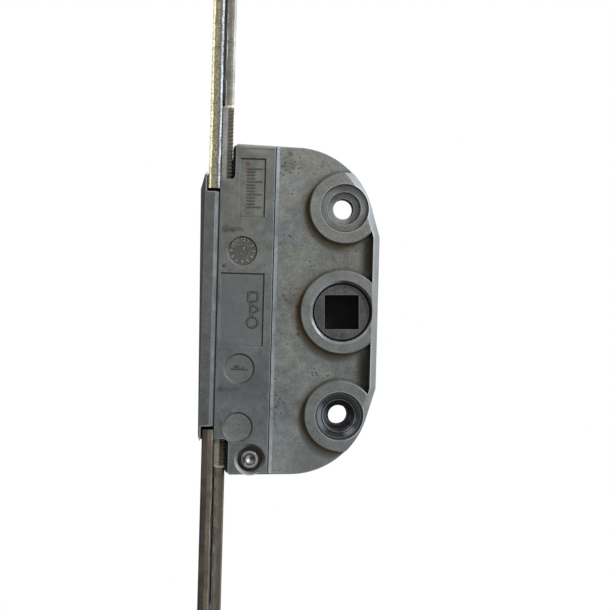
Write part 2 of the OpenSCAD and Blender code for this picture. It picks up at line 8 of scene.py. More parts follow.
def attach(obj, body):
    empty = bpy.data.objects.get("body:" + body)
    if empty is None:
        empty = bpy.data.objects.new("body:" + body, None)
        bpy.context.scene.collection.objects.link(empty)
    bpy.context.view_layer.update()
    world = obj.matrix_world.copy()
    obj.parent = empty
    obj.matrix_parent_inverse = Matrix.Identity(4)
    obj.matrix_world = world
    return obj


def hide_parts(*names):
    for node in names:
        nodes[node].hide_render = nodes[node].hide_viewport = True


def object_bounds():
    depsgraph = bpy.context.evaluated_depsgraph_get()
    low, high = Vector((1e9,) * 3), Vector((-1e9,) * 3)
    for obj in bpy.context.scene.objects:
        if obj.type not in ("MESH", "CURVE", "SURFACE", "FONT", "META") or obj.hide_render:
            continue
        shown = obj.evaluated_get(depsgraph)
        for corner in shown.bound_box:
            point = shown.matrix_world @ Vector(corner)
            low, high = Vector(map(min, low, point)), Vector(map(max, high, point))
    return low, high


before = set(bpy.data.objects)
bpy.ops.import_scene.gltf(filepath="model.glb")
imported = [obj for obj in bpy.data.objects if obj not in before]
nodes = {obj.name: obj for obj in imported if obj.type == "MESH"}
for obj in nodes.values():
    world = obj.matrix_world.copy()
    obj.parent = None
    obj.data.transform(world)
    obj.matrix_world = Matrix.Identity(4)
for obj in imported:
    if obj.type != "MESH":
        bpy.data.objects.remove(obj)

cad_low, cad_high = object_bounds()


# The camera stands in front of the flange, half a metre from the bosses, and looks a little
# to the right. The object leans right by about one and a half degrees, so the camera is rolled.
eye = Vector((-0.02738, -0.507, 0.00245))
aim = Vector((-0.00774, -0.007, 0.00129))
roll = radians(1.55)
camera_data = bpy.data.cameras.new("camera")
camera_data.sensor_width = 36
camera_data.lens = 143.1
camera_data.clip_start = 0.01
camera_data.clip_end = 20
camera = bpy.data.objects.new("camera", camera_data)
bpy.context.scene.collection.objects.link(camera)
camera.location = eye
camera.rotation_mode = "QUATERNION"
camera.rotation_quaternion = (aim - eye).to_track_quat("-Z", "Y") @ Quaternion((0, 0, 1), roll)
bpy.context.scene.camera = camera
bpy.context.scene.view_settings.view_transform = "Standard"


# White paper all round: the camera and every mirror-like ray see white, while the light that
# it gives to dull surfaces stays low, so that the lamps model the shapes.
world = bpy.data.worlds.new("white paper")
world.use_nodes = True
bpy.context.scene.world = world
tree = world.node_tree
tree.nodes.clear()
path = tree.nodes.new("ShaderNodeLightPath")
mirror_like = tree.nodes.new("ShaderNodeMath")
mirror_like.operation = "MAXIMUM"
tree.links.new(path.outputs["Is Glossy Ray"], mirror_like.inputs[0])
tree.links.new(path.outputs["Is Transmission Ray"], mirror_like.inputs[1])
seen = tree.nodes.new("ShaderNodeMath")
seen.operation = "MAXIMUM"
tree.links.new(path.outputs["Is Camera Ray"], seen.inputs[0])
tree.links.new(mirror_like.outputs[0], seen.inputs[1])
fill = tree.nodes.new("ShaderNodeBackground")
fill.inputs["Color"].default_value = (0.95, 0.97, 1, 1)
fill.inputs["Strength"].default_value = 0.42
paper = tree.nodes.new("ShaderNodeBackground")
paper.inputs["Color"].default_value = (1, 1, 1, 1)
paper.inputs["Strength"].default_value = 1.0
both = tree.nodes.new("ShaderNodeMixShader")
tree.links.new(seen.outputs[0], both.inputs[0])
tree.links.new(fill.outputs[0], both.inputs[1])
tree.links.new(paper.outputs[0], both.inputs[2])
output = tree.nodes.new("ShaderNodeOutputWorld")
tree.links.new(both.outputs[0], output.inputs["Surface"])


def add_lamp(name, place, target, size, power, colour):
    """A soft square lamp at a place, pointed at a target."""
    lamp = bpy.data.lights.new(name, "AREA")
    lamp.size = size
    lamp.energy = power
    lamp.color = colour
    holder = bpy.data.objects.new(name, lamp)
    bpy.context.scene.collection.objects.link(holder)
    holder.location = place
    holder.rotation_mode = "QUATERNION"
    holder.rotation_quaternion = (Vector(target) - Vector(place)).to_track_quat("-Z", "Y")


# A soft key lamp on the upper right, steep enough for short shadows on the lower left of the
# bosses, and a lamp behind the object's plane that brightens the edges facing right and up.
add_lamp("key lamp", (0.36, -0.62, 0.36), (0, 0, 0), 0.2, 3.4, (1, 0.99, 0.96))
add_lamp("edge lamp", (0.7, 0.02, 0.42), (0, 0, 0), 0.4, 4, (0.86, 0.93, 1))
add_lamp("left lamp", (-0.7, -0.3, 0.1), (0, 0, 0), 0.4, 0.5, (1, 0.93, 0.8))


# A plain pale floor just below the lower faceplate. It is a small disc, so that its far edge
# stays below the picture, whose lower edge cuts the object itself.
floor_mesh = bpy.data.meshes.new("floor")
floor_z = cad_low[2] - 0.0005
sheet = bmesh.new()
bmesh.ops.create_circle(sheet, cap_ends=True, segments=96, radius=0.42,
                        matrix=Matrix.Translation((0, 0, floor_z)))
sheet.to_mesh(floor_mesh)
sheet.free()
floor = bpy.data.objects.new("floor", floor_mesh)
bpy.context.scene.collection.objects.link(floor)
pale = bpy.data.materials.new("pale floor")
pale.use_nodes = True
pale_shader = pale.node_tree.nodes["Principled BSDF"]
pale_shader.inputs["Base Color"].default_value = (0.82, 0.82, 0.82, 1)
pale_shader.inputs["Roughness"].default_value = 0.8
floor_mesh.materials.append(pale)


# Front casting: a die-cast zinc half with a smooth plateau beside the rods and a plane that
# slopes to the rim. Its skin is grey, oily and pitted, and its edges are rubbed bright. Its corners
# and the walls that face down and left are painted dark as shade, and the walls that face up and
# right light as highlights.
def add_node(tree, kind, inputs=None, **settings):
    """A shader node with its settings, and its inputs set to values or joined to sockets."""
    node = tree.nodes.new(kind)
    for key, value in settings.items():
        setattr(node, key, value)
    for key, value in (inputs or {}).items():
        if isinstance(value, bpy.types.NodeSocket):
            tree.links.new(value, node.inputs[key])
        else:
            node.inputs[key].default_value = value
    return node


def start_group(name, inputs, outputs):
    """An empty shader node group with named sockets, and its two end nodes."""
    group = bpy.data.node_groups.new(name, "ShaderNodeTree")
    for label, kind, value in inputs:
        socket = group.interface.new_socket(label, in_out="INPUT", socket_type="NodeSocket" + kind)
        if value is not None:
            socket.default_value = value
    for label, kind in outputs:
        group.interface.new_socket(label, in_out="OUTPUT", socket_type="NodeSocket" + kind)
    return group, group.nodes.new("NodeGroupInput"), group.nodes.new("NodeGroupOutput")


def ramp(tree, value, low, high):
    """A soft step of a value from 0 at low to 1 at high."""
    step = add_node(tree, "ShaderNodeMapRange", {0: value, 1: low, 2: high},
                    interpolation_type="SMOOTHSTEP")
    return step.outputs[0]


def blend(tree, factor, first, second, kind="MIX"):
    """A mix of two colours."""
    mix = add_node(tree, "ShaderNodeMix", {0: factor, 6: first, 7: second},
                   data_type="RGBA", blend_type=kind)
    return mix.outputs[2]


def sums(tree, operation, first, second=0.0):
    """The result of a sum, or of another operation, on one or two values."""
    return add_node(tree, "ShaderNodeMath", {0: first, 1: second}, operation=operation).outputs[0]


def along(tree, vector, direction):
    """How far a vector reaches along a direction."""
    dot = add_node(tree, "ShaderNodeVectorMath", {0: vector, 1: direction}, operation="DOT_PRODUCT")
    return dot.outputs["Value"]


# Metal skin: one tone at the upper end and one at the lower end of the lock, with slow clouds,
# sharper stained patches, fine grain, and pits that come in clusters. It also gives the height
# of grain and pits for the bump.
skin, skin_in, skin_out = start_group(
    "metal skin",
    [("Vector", "Vector", None), ("Upper", "Color", None), ("Lower", "Color", None),
     ("Stain", "Color", None), ("Cloud Scale", "Float", 90), ("Clouds", "Float", 0.3),
     ("Patches", "Float", 0.5), ("Pits", "Float", 0.5), ("Pitted", "Float", 0),
     ("Grain", "Float", 0.3)],
    [("Color", "Color"), ("Height", "Float"), ("Roughness", "Float")])
where = skin_in.outputs["Vector"]
lower_end, upper_end = -0.033, 0.034


def swing(noise, low, high, strength):
    """A noise brought to between -0.5 and 0.5, and made as strong as one of the skin's inputs."""
    centred = sums(skin, "SUBTRACT", ramp(skin, noise.outputs["Fac"], low, high), 0.5)
    return sums(skin, "MULTIPLY", centred, skin_in.outputs[strength])


cloud = add_node(skin, "ShaderNodeTexNoise", {
    "Vector": where, "Scale": skin_in.outputs["Cloud Scale"], "Detail": 5, "Roughness": 0.55})
tone = blend(skin, ramp(skin, along(skin, where, (0, 0, 1)), lower_end, upper_end),
             skin_in.outputs["Lower"], skin_in.outputs["Upper"])
grain = add_node(skin, "ShaderNodeTexNoise", {
    "Vector": where, "Scale": 2900, "Detail": 3, "Roughness": 0.6})
cloudy = swing(cloud, 0.3, 0.7, "Clouds")
mottle = add_node(skin, "ShaderNodeTexNoise", {
    "Vector": where, "Scale": 520, "Detail": 4, "Roughness": 0.6})
mottled = swing(mottle, 0.32, 0.68, "Clouds")
grainy = swing(grain, 0.28, 0.72, "Grain")
level = sums(skin, "ADD", sums(skin, "ADD", cloudy, mottled), sums(skin, "ADD", grainy, 1.0))
shade = add_node(skin, "ShaderNodeCombineColor", {0: level, 1: level, 2: level})
patch = add_node(skin, "ShaderNodeTexNoise", {
    "Vector": where, "Scale": 150, "Detail": 3, "Roughness": 0.5, "Distortion": 0.4})
patch_mask = sums(skin, "MULTIPLY", ramp(skin, patch.outputs["Fac"], 0.5, 0.6),
                  skin_in.outputs["Patches"])
stained = blend(skin, patch_mask, tone, skin_in.outputs["Stain"])
grained = blend(skin, 1.0, stained, shade.outputs[0], "MULTIPLY")
pit_black = (0.016, 0.014, 0.012, 1)
cells = add_node(skin, "ShaderNodeTexVoronoi", {"Vector": where, "Scale": 1250, "Randomness": 1.0})
cluster = add_node(skin, "ShaderNodeTexNoise", {"Vector": where, "Scale": 260, "Detail": 2})
pit_spots = sums(skin, "MULTIPLY", ramp(skin, cells.outputs["Distance"], 0.31, 0.18),
                 sums(skin, "MAXIMUM", ramp(skin, cluster.outputs["Fac"], 0.5, 0.63),
                      skin_in.outputs["Pitted"]))
pit_mask = sums(skin, "MULTIPLY", pit_spots, skin_in.outputs["Pits"])
pitted = blend(skin, sums(skin, "MINIMUM", pit_mask, 1.0), grained, pit_black)
skin.links.new(pitted, skin_out.inputs["Color"])
hills = add_node(skin, "ShaderNodeTexNoise", {"Vector": where, "Scale": 900, "Detail": 2})
height = sums(skin, "ADD", sums(skin, "MULTIPLY", grain.outputs["Fac"], 0.4), hills.outputs["Fac"])
skin.links.new(sums(skin, "SUBTRACT", height, pit_mask), skin_out.inputs["Height"])
smoothest, roughest = 0.36, 0.5
gloss = add_node(skin, "ShaderNodeMapRange", {
    0: cloud.outputs["Fac"], 1: 0.3, 2: 0.7, 3: smoothest, 4: roughest})
skin.links.new(gloss.outputs[0], skin_out.inputs["Roughness"])


# Painted side light: a mask on the walls that face down and left, away from the key lamp, which
# are painted dark as shade, and one on the walls that face up and right, which are painted light as
# highlights.
sided_light, sided_light_in, sided_light_out = start_group(
    "painted side light", [("Normal", "Vector", None)], [("Shaded Side", "Float"), ("Lit Side", "Float")])
down_and_left = (-0.76, 0, -0.65)
lean = along(sided_light, sided_light_in.outputs["Normal"], down_and_left)
sided_light.links.new(ramp(sided_light, lean, 0.12, 0.55), sided_light_out.inputs["Shaded Side"])
sided_light.links.new(ramp(sided_light, sums(sided_light, "MULTIPLY", lean, -1.0), 0.2, 0.75),
                  sided_light_out.inputs["Lit Side"])


# Spot: a soft round mask about a line along Y, for painted shadows and highlights, stains, pitted
# places and rust. Its lean keeps it to the lower left side, where painted shadows fall away from
# the key lamp.
spot, spot_in, spot_out = start_group(
    "round spot",
    [("Vector", "Vector", None), ("Centre", "Vector", None), ("Radius", "Float", 0.0075),
     ("Reach", "Float", 0.0016), ("Lean", "Float", 0.0)],
    [("Mask", "Float")])
lower_left = (-0.8, 0, -0.6)
away = add_node(spot, "ShaderNodeVectorMath", {
    0: spot_in.outputs["Vector"], 1: spot_in.outputs["Centre"]}, operation="SUBTRACT")
flat_away = add_node(spot, "ShaderNodeVectorMath", {0: away.outputs[0], 1: (1, 0, 1)},
                     operation="MULTIPLY")
length = add_node(spot, "ShaderNodeVectorMath", {0: flat_away.outputs[0]}, operation="LENGTH")
past_radius = sums(spot, "SUBTRACT", length.outputs["Value"], spot_in.outputs["Radius"])
far = sums(spot, "DIVIDE", past_radius, spot_in.outputs["Reach"])
side = sums(spot, "DIVIDE", along(spot, flat_away.outputs[0], lower_left),
            length.outputs["Value"])
sided = add_node(spot, "ShaderNodeMapRange", {
    0: spot_in.outputs["Lean"], 3: 1.0, 4: ramp(spot, side, -0.1, 0.8)})
spot.links.new(sums(spot, "MULTIPLY", ramp(spot, far, 1.0, 0.0), sided.outputs[0]),
               spot_out.inputs["Mask"])


# The dark brown that paints shade on walls and in corners.
shade_tint = (0.03, 0.022, 0.012)
worn_width, rounding, bump_depth = 0.0003, 0.00012, 0.00012


def metal(name, upper, lower=None, stain=None, metallic=0.5, patches=0.3, pits=0.3, grain=0.3,
          clouds=0.25, cloud_scale=90, bump=0.25, rougher=0.0, wear_and_highlight=(0.3, 0.32, 0.34), wear_and_lit_side=0.6,
          side_shade=0.9, corner_shade=0.8, corner=0.0008, spots=(), paint=None):
    """A metal with a skin, its corners and the walls that face down and left painted dark as shade,
    the walls that face up and right painted light as highlights in the wear_and_highlight colour,
    edges rubbed to that wear colour, and spots of other colours. Each spot is x, z, radius, reach
    (in mm), lean, colour and weight, and one without a colour is thick with pits. wear_and_lit_side
    is how strongly edges are rubbed and walls painted light, side_shade how strongly walls are
    painted dark, corner_shade how strongly corners are painted dark, and corner is how far that
    painted shade reaches. paint may give the skin's tone in place of the two colours."""
    material = bpy.data.materials.new(name)
    material.use_nodes = True
    tree = material.node_tree
    shader = tree.nodes["Principled BSDF"]
    shader.inputs["Metallic"].default_value = metallic
    frame_of_piece = tree.nodes.new("ShaderNodeTexCoord")
    place = frame_of_piece.outputs["Object"]
    lower = lower or upper
    stain = stain or tuple(0.7 * value for value in lower)
    surface = add_node(tree, "ShaderNodeGroup", node_tree=skin)
    tree.links.new(place, surface.inputs["Vector"])
    for label, value in (("Upper", upper), ("Lower", lower), ("Stain", stain)):
        surface.inputs[label].default_value = value + (1,)
    for label, value in (("Cloud Scale", cloud_scale), ("Clouds", clouds), ("Patches", patches),
                         ("Pits", pits), ("Grain", grain)):
        surface.inputs[label].default_value = value
    if paint:
        painted = paint(tree, place)
        tree.links.new(painted, surface.inputs["Upper"])
        tree.links.new(painted, surface.inputs["Lower"])
    colour = surface.outputs["Color"]
    pitted = 0.0
    for x, z, radius, reach, one_sided, tint, weight in spots:
        ring = add_node(tree, "ShaderNodeGroup", node_tree=spot)
        tree.links.new(place, ring.inputs["Vector"])
        ring.inputs["Centre"].default_value = (x / 1000, 0, z / 1000)
        ring.inputs["Radius"].default_value = radius / 1000
        ring.inputs["Reach"].default_value = reach / 1000
        ring.inputs["Lean"].default_value = one_sided
        mask = sums(tree, "MULTIPLY", ring.outputs["Mask"], weight)
        if tint:
            colour = blend(tree, mask, colour, tint + (1,))
        else:
            pitted = sums(tree, "MAXIMUM", mask, pitted)
    if pitted:
        tree.links.new(pitted, surface.inputs["Pitted"])
    side_light_node = add_node(tree, "ShaderNodeGroup", node_tree=sided_light)
    tree.links.new(frame_of_piece.outputs["Normal"], side_light_node.inputs["Normal"])
    # Walls that face down and left are painted dark as shade, and walls that face up and right
    # light as highlights.
    colour = blend(tree, sums(tree, "MULTIPLY", side_light_node.outputs["Shaded Side"], side_shade), colour, shade_tint + (1,))
    colour = blend(tree, sums(tree, "MULTIPLY", side_light_node.outputs["Lit Side"], 0.6 * wear_and_lit_side), colour,
                   wear_and_highlight + (1,))
    # Corners and the gaps between parts are painted dark as shade.
    inner = add_node(tree, "ShaderNodeAmbientOcclusion", {"Distance": corner}, samples=8)
    corner_shade_mask = sums(tree, "MULTIPLY", ramp(tree, inner.outputs["AO"], 0.85, 0.4), corner_shade)
    colour = blend(tree, corner_shade_mask, colour, shade_tint + (1,))
    # Convex edges are rubbed to the wear colour, though not on the walls painted as shade.
    outer = add_node(tree, "ShaderNodeAmbientOcclusion", {"Distance": worn_width}, samples=6,
                     inside=True, only_local=True)
    worn = sums(tree, "MULTIPLY", ramp(tree, outer.outputs["AO"], 0.9, 0.55), wear_and_lit_side)
    worn = sums(tree, "MULTIPLY", worn, sums(tree, "SUBTRACT", 1.0, side_light_node.outputs["Shaded Side"]))
    colour = blend(tree, worn, colour, wear_and_highlight + (1,))
    tree.links.new(colour, shader.inputs["Base Color"])
    rough = sums(tree, "ADD", surface.outputs["Roughness"], sums(tree, "MULTIPLY", corner_shade_mask, 0.2))
    tree.links.new(sums(tree, "ADD", rough, rougher), shader.inputs["Roughness"])
    rounded = add_node(tree, "ShaderNodeBevel", {"Radius": rounding}, samples=4)
    bumped = add_node(tree, "ShaderNodeBump", {
        "Strength": bump, "Distance": bump_depth, "Height": surface.outputs["Height"],
        "Normal": rounded.outputs[0]})
    tree.links.new(bumped.outputs[0], shader.inputs["Normal"])
    return material


def merged_copy(node, name, materials, pick=None, sharpest=28):
    """A merged copy of a CAD node, evenly shaded, which stands for the node. pick chooses the
    place of a face in the list of materials from its middle in mm and its normal."""
    mesh = nodes[node].data.copy()
    work = bmesh.new()
    work.from_mesh(mesh)
    bmesh.ops.remove_doubles(work, verts=work.verts, dist=3e-6)
    work.normal_update()
    for face in work.faces:
        face.smooth = True
        face.material_index = pick(face.calc_center_median() * 1000, face.normal) if pick else 0
    for edge in work.edges:
        edge.smooth = edge.calc_face_angle(0) < radians(sharpest)
    mesh.clear_geometry()
    mesh.materials.clear()
    for material in materials:
        mesh.materials.append(material)
    work.to_mesh(mesh)
    work.free()
    piece = bpy.data.objects.new(name, mesh)
    bpy.context.scene.collection.objects.link(piece)
    even = piece.modifiers.new("even shading", "WEIGHTED_NORMAL")
    even.keep_sharp = True
    even.weight = 100
    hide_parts(node)
    return piece


# The brown of painted shadows.
shadow_brown = (0.062, 0.046, 0.012)
rust = (0.1, 0.04, 0.014)
dark_red = (0.045, 0.014, 0.01)
# Dried oil, also the tone of the painted shadow in the lower pocket.
dried_oil_and_shade = (0.022, 0.017, 0.012)
screw_z = 21.5
rivet_x, rivet_z = -18.3, -30.9

# Spots on the plane: painted brown shadows on the lower left of the bosses and beside the rim in
# the upper pocket, a painted dark shadow beside the rim in the lower pocket, places thick with
# pits, and small dried dabs.
boss_shade = [(0, 0, 8.7, 2.5, 1.0, shadow_brown, 1.0), (0, screw_z, 7.3, 2.7, 1.0, shadow_brown, 0.95),
              (0, -screw_z, 7.4, 1.9, 1.0, shadow_brown, 1.0)]
pocket_shade = [(5.6, z, 0.6, 1.1, 0, shadow_brown, 0.8) for z in (9.8, 11.3, 12.8, 14.3)]
pocket_shade += [(5.4, z, 0.8, 2.2, 0, dried_oil_and_shade, 0.6) for z in (-9.8, -11.3, -12.8, -14.3)]
pitted_places = [(-11.6, 29.4, 1.6, 2.6, 0, None, 1.0), (-10.6, 3.2, 0.9, 2.4, 0, None, 1.0),
                 (-11.8, 24.5, 0.3, 1.6, 0, None, 0.6), (-8.6, -3.5, 0.3, 1.6, 0, None, 0.7),
                 (-12.0, 30.2, 0.5, 1.8, 0, dried_oil_and_shade, 0.35), (-10.6, 2.4, 0.3, 1.8, 0, dried_oil_and_shade, 0.3)]
dab_reach = 0.45
dried_dabs = [(-11.5, 32.4, 0.3, 0.6), (-12.2, 3.1, 0.15, 0.7), (-11.7, 2.3, 0.1, 0.7),
              (-9.3, 0.9, 0.15, 0.8), (-9.0, -3.6, 0.1, 0.7), (-8.9, -4.8, 0.15, 0.7)]
pitted_places += [(x, z, radius, dab_reach, 0, dried_oil_and_shade, weight)
                  for x, z, radius, weight in dried_dabs]

castings = {
    "plateau": metal("plateau zinc", (0.118, 0.121, 0.114), (0.09, 0.099, 0.102),
                     (0.066, 0.076, 0.082), metallic=0.5, patches=0.55, pits=0.4, grain=0.25,
                     clouds=0.3, cloud_scale=110, wear_and_highlight=(0.32, 0.33, 0.33),
                     spots=[(-18, 37, 3.4, 2.4, 0, (0.19, 0.19, 0.17), 0.9),
                            (-23.2, 13.6, 0.15, 0.4, 0, dark_red, 0.9),
                            (-24.7, 8.9, 0.15, 0.35, 0, dark_red, 0.9),
                            (-23.0, 16.4, 0.2, 0.6, 0, dark_red, 0.8),
                            (-23.9, -24.4, 0.5, 1.0, 0, dried_oil_and_shade, 0.3),
                            (-23.9, -24.4, 0.8, 1.2, 0, None, 1.0),
                            (-24.6, -16.5, 0.2, 0.9, 0, dried_oil_and_shade, 0.5),
                            (-24.4, 16.6, 0.3, 0.9, 0, dried_oil_and_shade, 0.5),
                            # A painted brown shadow on the lower left of the rivet.
                            (-18.2, -30.9, 3.0, 1.0, 1, shadow_brown, 0.3),
                            (-20, -15.0, 2.0, 5.0, 0, (0.052, 0.06, 0.064), 0.6),
                            (-15.4, 25, 1.0, 4.0, 0, (0.085, 0.088, 0.08), 0.5)]),
    "mark floor": metal("mark floor zinc", (0.12, 0.122, 0.108), (0.118, 0.126, 0.123),
                        (0.09, 0.098, 0.1), metallic=0.45, patches=0.5, pits=0.35, grain=0.28,
                        clouds=0.3, cloud_scale=120, wear_and_highlight=(0.3, 0.31, 0.3),
                        spots=[(-20.75, 0, 6, 4, 0, (0.078, 0.09, 0.098), 0.65),
                               (-20.35, 30.1, 0.25, 0.35, 0, rust, 1.0),
                               (-20.95, 12.1, 2.6, 0.5, 0, dried_oil_and_shade, 0.55),
                               (-20.95, -12.2, 2.0, 3.0, 0, (0.078, 0.086, 0.088), 0.6)]),
    "plane": metal("plane zinc", (0.116, 0.118, 0.105), (0.124, 0.134, 0.13), (0.1, 0.114, 0.13),
                   metallic=0.45, patches=0.45, pits=0.9, grain=0.42, clouds=0.34, cloud_scale=110,
                   corner=0.0011, corner_shade=0.95,
                   spots=[(-6, -31.5, 2, 5, 0, (0.082, 0.087, 0.083), 0.6)]
                   + boss_shade + pocket_shade + pitted_places),
    "boss": metal("boss zinc", (0.15, 0.155, 0.147), (0.104, 0.11, 0.107), (0.105, 0.11, 0.11),
                  metallic=0.45, patches=0.2, pits=0.15, grain=0.38, clouds=0.25, cloud_scale=160,
                  wear_and_highlight=(0.38, 0.4, 0.42)),
    "rim": metal("rim zinc", (0.178, 0.19, 0.188), (0.085, 0.09, 0.083), (0.11, 0.12, 0.125),
                 metallic=0.5, patches=0.4, pits=0.8, grain=0.42, cloud_scale=150, side_shade=0.6,
                 wear_and_highlight=(0.4, 0.43, 0.46)),
    # The ridge and the chamfer round the spindle bore are painted light as highlights.
    "highlit ridge": metal("ridge zinc, painted highlight", (0.28, 0.32, 0.36), (0.3, 0.33, 0.35), (0.18, 0.2, 0.22),
                   metallic=0.7, patches=0.5, pits=0.4, grain=0.4, cloud_scale=300, rougher=-0.08,
                   wear_and_lit_side=0.2),
    "flange": metal("flange zinc", (0.09, 0.093, 0.091), (0.066, 0.072, 0.074),
                    (0.055, 0.058, 0.06), metallic=0.5, patches=0.45, pits=0.3, grain=0.36,
                    cloud_scale=150, side_shade=0.85, wear_and_highlight=(0.4, 0.42, 0.43), wear_and_lit_side=0.8),
    "flange outside": metal("flange outside zinc", (0.12, 0.124, 0.12), (0.1, 0.106, 0.106),
                            metallic=0.5, patches=0.4, pits=0.4, grain=0.3, cloud_scale=110,
                            side_shade=0.15, wear_and_highlight=(0.32, 0.34, 0.35)),
    # The flange's slope is painted light as a highlight.
    "highlit flange slope": metal("flange slope zinc, painted highlight", (0.39, 0.44, 0.47), (0.28, 0.31, 0.33),
                          (0.2, 0.22, 0.23), metallic=0.65, patches=0.35, pits=0.25, grain=0.3,
                          cloud_scale=300, rougher=-0.06, wear_and_lit_side=0.2),
    # The walls of bores and seats are painted dark as shade.
    "shaded wall": metal("wall zinc, painted shade", (0.03, 0.025, 0.017), (0.022, 0.019, 0.015), metallic=0.3,
                       patches=0.4, pits=0.2, grain=0.4, cloud_scale=300, wear_and_lit_side=0.15),
    "rivet seat": metal("rivet seat zinc", (0.15, 0.155, 0.15), (0.12, 0.128, 0.13), metallic=0.5,
                        patches=0.4, pits=0.3, grain=0.35, cloud_scale=300, corner=0.0003, corner_shade=0.4,
                        wear_and_highlight=(0.42, 0.46, 0.5), wear_and_lit_side=0.9),
    # The grooves are painted dark as shade.
    "groove": metal("grimy groove", (0.024, 0.024, 0.022), (0.03, 0.032, 0.032), metallic=0.3,
                    patches=0.5, pits=0.5, grain=0.7, cloud_scale=700, wear_and_lit_side=0.2),
    # The blind bearing is painted black as shade.
    "bearing": metal("black bearing", (0.003, 0.003, 0.002), (0.002, 0.002, 0.0015), metallic=0,
                     patches=0.4, pits=0, grain=0.4, wear_and_highlight=(0.01, 0.01, 0.01), wear_and_lit_side=0.1, side_shade=0,
                     corner_shade=0.3, rougher=0.3),
}
finishes = list(castings)


def casting_part(middle, normal):
    """The finish of a face of the front half, by where it is and which way it faces. The level is
    its height in mm above the housing's middle plane, and facing is 1 on a face that looks
    straight up from that plane and 0 on a wall."""
    x, y, z = middle
    radii = [hypot(x, z - boss_z) for boss_z in (0, screw_z, -screw_z)]
    from_rivet = hypot(x - rivet_x, z - rivet_z)
    level, facing = -y, abs(normal.y)
    found = "plateau"
    if radii[0] < 6.2:
        found = "shaded wall"
    elif radii[0] < 6.8 and 0.2 < facing < 0.95:
        found = "highlit ridge"
    elif from_rivet < 2.55 and (facing < 0.95 or level < 6.2):
        found = "shaded wall"
    elif from_rivet < 3.3 and facing < 0.95:
        found = "rivet seat"
    elif min(radii[1:]) < 3.5 or (4.55 < radii[2] < 5.03 and facing > 0.9 and level < 6):
        found = "shaded wall"
    elif min(radii[1:]) < 5.2:
        found = "boss"
    elif min(radii) < 9.3 and (facing < 0.9 or level > 6.95):
        found = "boss"
    elif x > 5.5 and level > 4:
        found = "rim"
    elif x < -28.8 and normal.x < -0.985:
        found = "flange outside"
    elif x < -28.8 and facing < 0.9:
        found = "flange"
    elif x < -26.8 and facing > 0.9 and level > 7:
        found = "flange"
    elif -26.9 < x < -26.1 and 0.2 < facing < 0.9 and level > 6.6:
        found = "highlit flange slope"
    elif -26.2 < x < -25.75 and level > 6.2:
        found = "groove"
    elif -25.8 < x < -14.7 and 6.05 < level < 6.2 and facing > 0.9:
        found = "mark floor"
    elif -14.7 < x < -14.3 and 5.9 < level < 6.49:
        found = "groove"
    elif -14.4 < x < -13.6 and 0.2 < facing < 0.95 and level > 5.5:
        found = "highlit ridge"
    elif x > -13.8 and facing > 0.85 and 2.8 < level < 5.9:
        found = "plane"
    return finishes.index(found)


front = merged_copy("front_housing", "front_casting", castings.values(), casting_part)
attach(front, "casing")


# Dial: raised numbers and marks that the die leaves in the upper round mark, cast in one with
# the front half. Their lower left sides are painted dark as shade, and the rings are painted dark
# all over as shade.
raised = bpy.data.node_groups.new("raised strokes", "GeometryNodeTree")
raised.interface.new_socket("Lines", in_out="INPUT", socket_type="NodeSocketGeometry")
raised.interface.new_socket("Half Width", in_out="INPUT", socket_type="NodeSocketFloat")
raised.interface.new_socket("Finish", in_out="INPUT", socket_type="NodeSocketMaterial")
raised.interface.new_socket("Strokes", in_out="OUTPUT", socket_type="NodeSocketGeometry")
lines_in = raised.nodes.new("NodeGroupInput")
paths = add_node(raised, "GeometryNodeMeshToCurve", {0: lines_in.outputs["Lines"]})
section = add_node(raised, "GeometryNodeCurvePrimitiveCircle", {
    "Resolution": 8, "Radius": lines_in.outputs["Half Width"]})
swept = add_node(raised, "GeometryNodeCurveToMesh", {
    "Curve": paths.outputs[0], "Profile Curve": section.outputs["Curve"], "Fill Caps": True})
real = add_node(raised, "GeometryNodeRealizeInstances", {0: swept.outputs[0]})
coated = add_node(raised, "GeometryNodeSetMaterial", {
    "Geometry": real.outputs[0], "Material": lines_in.outputs["Finish"]})
raised.links.new(coated.outputs[0], raised.nodes.new("NodeGroupOutput").inputs[0])


def plain_mesh(holder):
    """The plain mesh that an object comes to, after which the object is removed."""
    depsgraph = bpy.context.evaluated_depsgraph_get()
    mesh = bpy.data.meshes.new_from_object(holder.evaluated_get(depsgraph))
    bpy.data.objects.remove(holder)
    return mesh


def strokes(name, lines, half_width, material):
    """Raised strokes along lines, each a list of points in mm. A closed line ends where it
    starts."""
    mesh = bpy.data.meshes.new(name + "_lines")
    work = bmesh.new()
    for line in lines:
        closed = line[0] == line[-1]
        corners = [work.verts.new(Vector(p) / 1000) for p in (line[:-1] if closed else line)]
        for first, second in zip(corners, corners[1:] + (corners[:1] if closed else [])):
            work.edges.new((first, second))
    work.to_mesh(mesh)
    work.free()
    holder = bpy.data.objects.new(name + "_lines", mesh)
    bpy.context.scene.collection.objects.link(holder)
    sweep = holder.modifiers.new("raised strokes", "NODES")
    sweep.node_group = raised
    values = {"Half Width": half_width / 1000, "Finish": material}
    for socket in raised.interface.items_tree:
        if socket.item_type == "SOCKET" and socket.in_out == "INPUT" and socket.name in values:
            sweep[socket.identifier] = values[socket.name]
    made = plain_mesh(holder)
    work = bmesh.new()
    work.from_mesh(made)
    bmesh.ops.recalc_face_normals(work, faces=work.faces)
    for face in work.faces:
        face.smooth = len(face.verts) < 5
    work.to_mesh(made)
    work.free()
    made.name = name
    piece = bpy.data.objects.new(name, made)
    bpy.context.scene.collection.objects.link(piece)
    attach(piece, "casing")
    return piece


raised_zinc = metal("raised mark zinc", (0.19, 0.19, 0.17), stain=(0.12, 0.125, 0.12),
                    metallic=0.45, patches=0.4, pits=0.2, grain=0.3, cloud_scale=300, side_shade=1.0,
                    corner=0.0002, wear_and_highlight=(0.26, 0.27, 0.26), wear_and_lit_side=0.3)
